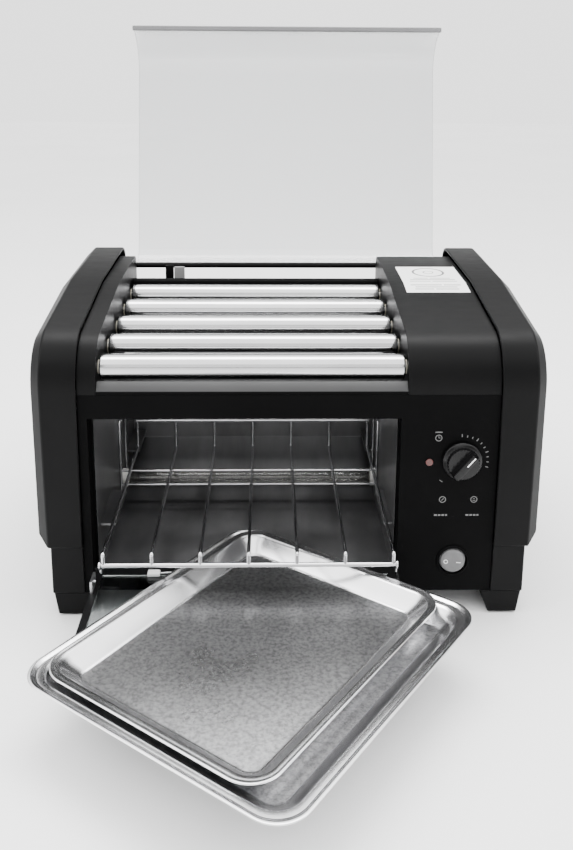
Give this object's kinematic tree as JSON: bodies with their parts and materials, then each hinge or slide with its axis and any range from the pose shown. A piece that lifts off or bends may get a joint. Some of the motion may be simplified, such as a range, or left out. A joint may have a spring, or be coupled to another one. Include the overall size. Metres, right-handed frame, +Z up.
{
  "type": "rotisserie oven",
  "caption": "Countertop roller grill: driven steel rollers under a hinged clear lid, small oven below with glass door, wire rack, two trays, timer knob and round rocker switch.",
  "frame": {"origin": "centre of the whole model at rest, on the table under the rubber foot pads", "axes": "+X to the right as the user faces the panel, +Y towards the rear, +Z up"},
  "size_m": [0.43, 0.6228, 0.5069],
  "materials": {
    "black_plastic": "satin moulded",
    "panel_black": "satin",
    "rubber": "matt",
    "ledge_grey": "satin",
    "galvanised": "dull",
    "polished_steel": "polished",
    "gear_nylon": "moulded",
    "steel_pin": "turned",
    "knob_black": "satin",
    "rocker_grey": "satin",
    "lamp": "clear",
    "label": "printed",
    "quartz": "milky",
    "ceramic": "glazed",
    "chrome_wire": "plated",
    "door_glass": "clear",
    "door_metal": "satin",
    "lid_clear": "clear moulded",
    "trim_grey": "satin",
    "stop_grey": "satin",
    "tray_steel": "bright pressed"
  },
  "bodies": {
    "body": {"side_cover_left": "black_plastic", "side_cover_right": "black_plastic", "feet": "black_plastic", "foot_pads": "rubber", "base_pan": "panel_black", "rear_panel": "panel_black", "rear_deck": "panel_black", "end_housing": "black_plastic", "gear_housing": "black_plastic", "front_panel": "panel_black", "front_ledge": "ledge_grey", "cavity_liner": "galvanised", "drip_deck": "ledge_grey", "panel_screws": "steel_pin", "cord_inlet": "black_plastic", "roller_bushes": "gear_nylon", "idler_pins": "steel_pin", "gear_plate": "galvanised", "motor": "galvanised", "timer_body": "galvanised", "switch_body": "knob_black", "switch_bezel": "knob_black", "indicator_lamp": "lamp", "blank_label": "label", "heater_tubes": "quartz", "heater_end_caps": "ceramic", "element_guards": "chrome_wire", "rack_rails": "galvanised", "lid_brackets": "black_plastic", "lid_stop": "stop_grey"},
    "roller_1": {"roller_tube_1": "polished_steel", "roller_gear_1": "gear_nylon"},
    "roller_2": {"roller_tube_2": "polished_steel", "roller_gear_2": "gear_nylon"},
    "roller_3": {"roller_tube_3": "polished_steel", "roller_gear_3": "gear_nylon"},
    "roller_4": {"roller_tube_4": "polished_steel", "roller_gear_4": "gear_nylon"},
    "roller_5": {"roller_tube_5": "polished_steel", "roller_gear_5": "gear_nylon"},
    "idler_1": {"idler_gear_1": "gear_nylon"},
    "idler_2": {"idler_gear_2": "gear_nylon"},
    "idler_3": {"idler_gear_3": "gear_nylon"},
    "idler_4": {"idler_gear_4": "gear_nylon"},
    "motor_drive": {"motor_shaft": "steel_pin", "motor_gear": "gear_nylon"},
    "knob": {"timer_knob": "knob_black", "timer_shaft": "steel_pin"},
    "rocker": {"switch_rocker": "rocker_grey"},
    "lid": {"lid_sheet": "lid_clear", "lid_trim": "trim_grey", "lid_rod": "black_plastic"},
    "door": {"door_glass": "door_glass", "door_frame": "door_metal", "door_lugs": "steel_pin", "door_handle": "door_metal"},
    "rack": {"wire_rack": "chrome_wire", "rack_hooks": "chrome_wire"},
    "trays": {"outer_tray": "tray_steel", "inner_tray": "tray_steel"}
  },
  "joints": [
    {"name": "roller_1_spin", "type": "hinge", "parent": "body", "child": "roller_1", "pos_m": [-0.031, -0.0108, 0.2207], "axis": [1, 0, 0], "continuous": true},
    {"name": "roller_2_spin", "type": "hinge", "parent": "body", "child": "roller_2", "pos_m": [-0.031, 0.0371, 0.22377], "axis": [1, 0, 0], "continuous": true},
    {"name": "roller_3_spin", "type": "hinge", "parent": "body", "child": "roller_3", "pos_m": [-0.031, 0.085, 0.22684], "axis": [1, 0, 0], "continuous": true},
    {"name": "roller_4_spin", "type": "hinge", "parent": "body", "child": "roller_4", "pos_m": [-0.031, 0.1329, 0.22992], "axis": [1, 0, 0], "continuous": true},
    {"name": "roller_5_spin", "type": "hinge", "parent": "body", "child": "roller_5", "pos_m": [-0.031, 0.18081, 0.23299], "axis": [1, 0, 0], "continuous": true},
    {"name": "idler_1_spin", "type": "hinge", "parent": "body", "child": "idler_1", "pos_m": [0.112, 0.01315, 0.22224], "axis": [1, 0, 0], "continuous": true},
    {"name": "idler_2_spin", "type": "hinge", "parent": "body", "child": "idler_2", "pos_m": [0.112, 0.06105, 0.22531], "axis": [1, 0, 0], "continuous": true},
    {"name": "idler_3_spin", "type": "hinge", "parent": "body", "child": "idler_3", "pos_m": [0.112, 0.10895, 0.22838], "axis": [1, 0, 0], "continuous": true},
    {"name": "idler_4_spin", "type": "hinge", "parent": "body", "child": "idler_4", "pos_m": [0.112, 0.15685, 0.23145], "axis": [1, 0, 0], "continuous": true},
    {"name": "motor_spin", "type": "hinge", "parent": "body", "child": "motor_drive", "pos_m": [0.112, 0.06259, 0.20136], "axis": [1, 0, 0], "continuous": true},
    {"name": "knob_turn", "type": "hinge", "parent": "body", "child": "knob", "pos_m": [0.1455, -0.0313, 0.1445], "axis": [0, 1, 0], "range_deg": [0, 270]},
    {"name": "rocker_tilt", "type": "hinge", "parent": "body", "child": "rocker", "pos_m": [0.142, -0.0273, 0.051], "axis": [0, 0, 1], "range_deg": [0, 16]},
    {"name": "lid_swing", "type": "hinge", "parent": "body", "child": "lid", "pos_m": [0, 0.2327, 0.253], "axis": [1, 0, 0], "range_deg": [0, 100]},
    {"name": "door_swing", "type": "hinge", "parent": "body", "child": "door", "pos_m": [-0.037, -0.0253, 0.0404], "axis": [-1, 0, 0], "range_deg": [0, 90]},
    {"name": "rack_slide", "type": "slide", "parent": "body", "child": "rack", "axis": [0, 1, 0], "range_m": [0, 0.046]},
    {"name": "trays_aside", "type": "hinge", "parent": "door", "child": "trays", "pos_m": [0.23, -0.1663, 0.043], "axis": [0, 0, 1], "range_deg": [0, 180]}
  ],
  "couplings": [
    {"joint": "roller_1_spin", "follows": "roller_3_spin", "ratio": 1},
    {"joint": "roller_2_spin", "follows": "roller_3_spin", "ratio": 1},
    {"joint": "roller_4_spin", "follows": "roller_3_spin", "ratio": 1},
    {"joint": "roller_5_spin", "follows": "roller_3_spin", "ratio": 1},
    {"joint": "idler_1_spin", "follows": "roller_3_spin", "ratio": -1},
    {"joint": "idler_2_spin", "follows": "roller_3_spin", "ratio": -1},
    {"joint": "idler_3_spin", "follows": "roller_3_spin", "ratio": -1},
    {"joint": "idler_4_spin", "follows": "roller_3_spin", "ratio": -1},
    {"joint": "motor_spin", "follows": "roller_3_spin", "ratio": 1},
    {"joint": "door_swing", "follows": "trays_aside", "ratio": 0.5},
    {"joint": "rack_slide", "follows": "trays_aside", "m_per_rad": 0.014641}
  ]
}
